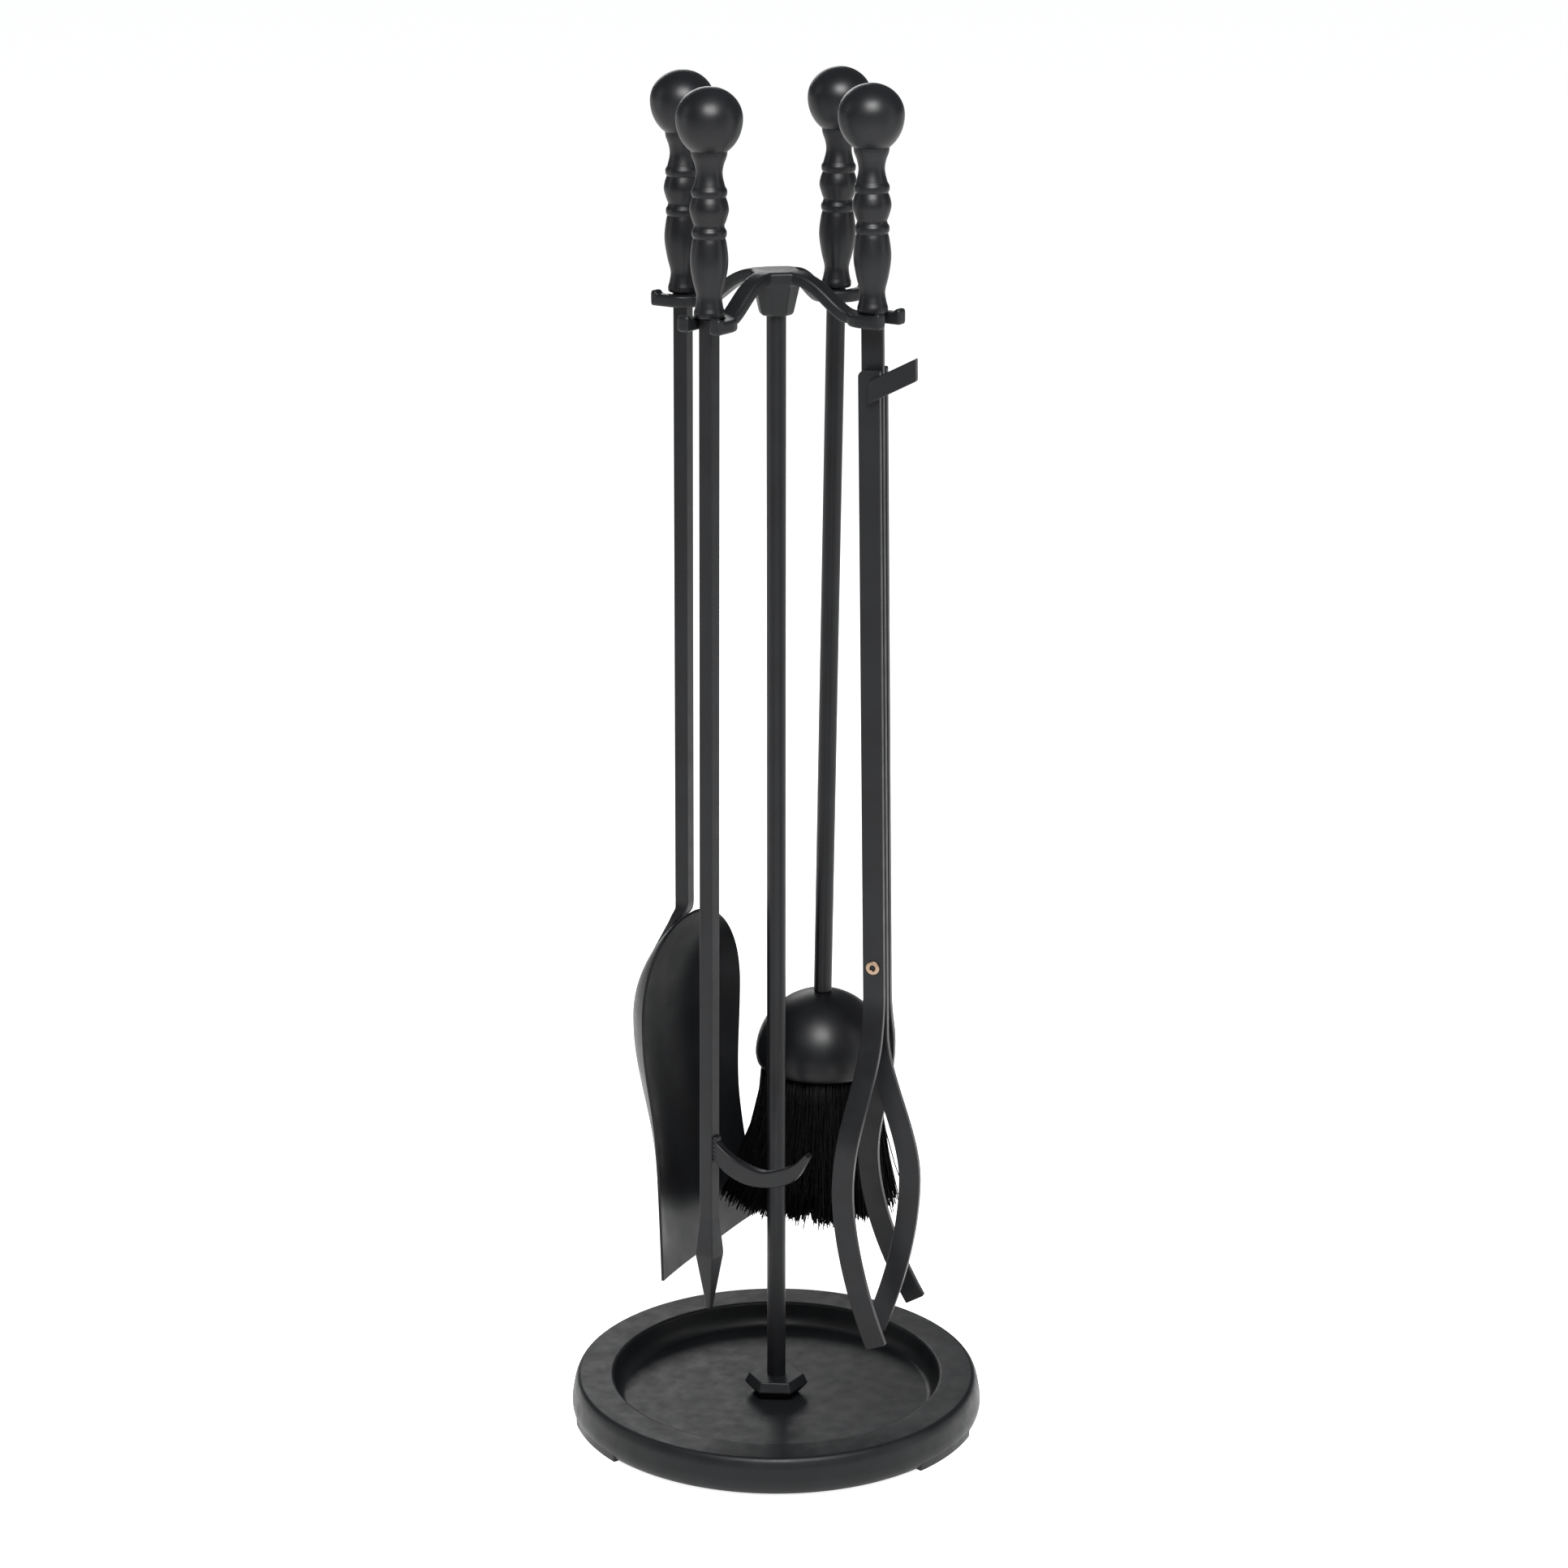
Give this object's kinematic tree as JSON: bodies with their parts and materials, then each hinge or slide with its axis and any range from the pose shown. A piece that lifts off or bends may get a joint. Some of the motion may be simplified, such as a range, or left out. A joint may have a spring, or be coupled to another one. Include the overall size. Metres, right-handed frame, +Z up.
{
  "type": "fireplace tool set",
  "caption": "Black fireplace companion set: shovel, poker, brush and claw tongs with turned handles, hanging from a forked stand on a round cast base.",
  "frame": {"origin": "middle of the base at floor level, under the post", "axes": "+Z up along the post; +X towards the tongs' fork, +Y the brush's fork, -X the shovel's, -Y the poker's"},
  "size_m": [0.2276, 0.228, 0.7361],
  "materials": {
    "satin_black_paint": "satin black paint on steel",
    "black_cast_iron": "satin black paint on a fine sand casting",
    "black_bristle": "coarse black fibre",
    "turned_wood": "plain turned beech",
    "bare_steel": "bare, slightly bronzed"
  },
  "bodies": {
    "stand": {"base_plate": "black_cast_iron", "base_collar": "black_cast_iron", "base_washer": "bare_steel", "base_bolt": "bare_steel", "post": "satin_black_paint", "hanger": "black_cast_iron"},
    "shovel": {"shovel_knob": "satin_black_paint", "shovel_grip": "satin_black_paint", "shovel_shaft": "satin_black_paint", "shovel_pan": "satin_black_paint"},
    "poker": {"poker_knob": "satin_black_paint", "poker_grip": "satin_black_paint", "poker_shaft": "satin_black_paint", "poker_hook": "satin_black_paint"},
    "brush": {"brush_knob": "satin_black_paint", "brush_grip": "satin_black_paint", "brush_rod": "satin_black_paint", "brush_dome": "satin_black_paint", "brush_block": "turned_wood", "brush_nut": "bare_steel", "brush_bristles": "black_bristle"},
    "tongs": {"tongs_knob": "satin_black_paint", "tongs_grip": "satin_black_paint", "tongs_handle_bar": "satin_black_paint", "tongs_front_spacer": "bare_steel", "tongs_back_spacer": "bare_steel"},
    "tongs_loose_arm": {"tongs_front_strap": "satin_black_paint", "tongs_back_strap": "satin_black_paint", "tongs_lever": "satin_black_paint", "tongs_rivet": "bare_steel"}
  },
  "joints": [
    {"name": "shovel_lift_off", "type": "slide", "parent": "stand", "child": "shovel", "axis": [-0.6428, 0, 0.766], "range_m": [0, 0.04]},
    {"name": "poker_lift_off", "type": "slide", "parent": "stand", "child": "poker", "axis": [0, -0.6428, 0.766], "range_m": [0, 0.04]},
    {"name": "brush_lift_off", "type": "slide", "parent": "stand", "child": "brush", "axis": [0, 0.6428, 0.766], "range_m": [0, 0.04]},
    {"name": "tongs_lift_off", "type": "slide", "parent": "stand", "child": "tongs", "axis": [0.6428, 0, 0.766], "range_m": [0, 0.04]},
    {"name": "tongs_pivot", "type": "hinge", "parent": "tongs", "child": "tongs_loose_arm", "pos_m": [0.06448, 0, 0.27405], "axis": [-0.2588, 0.9659, -0.0044], "range_deg": [0, 20]}
  ]
}
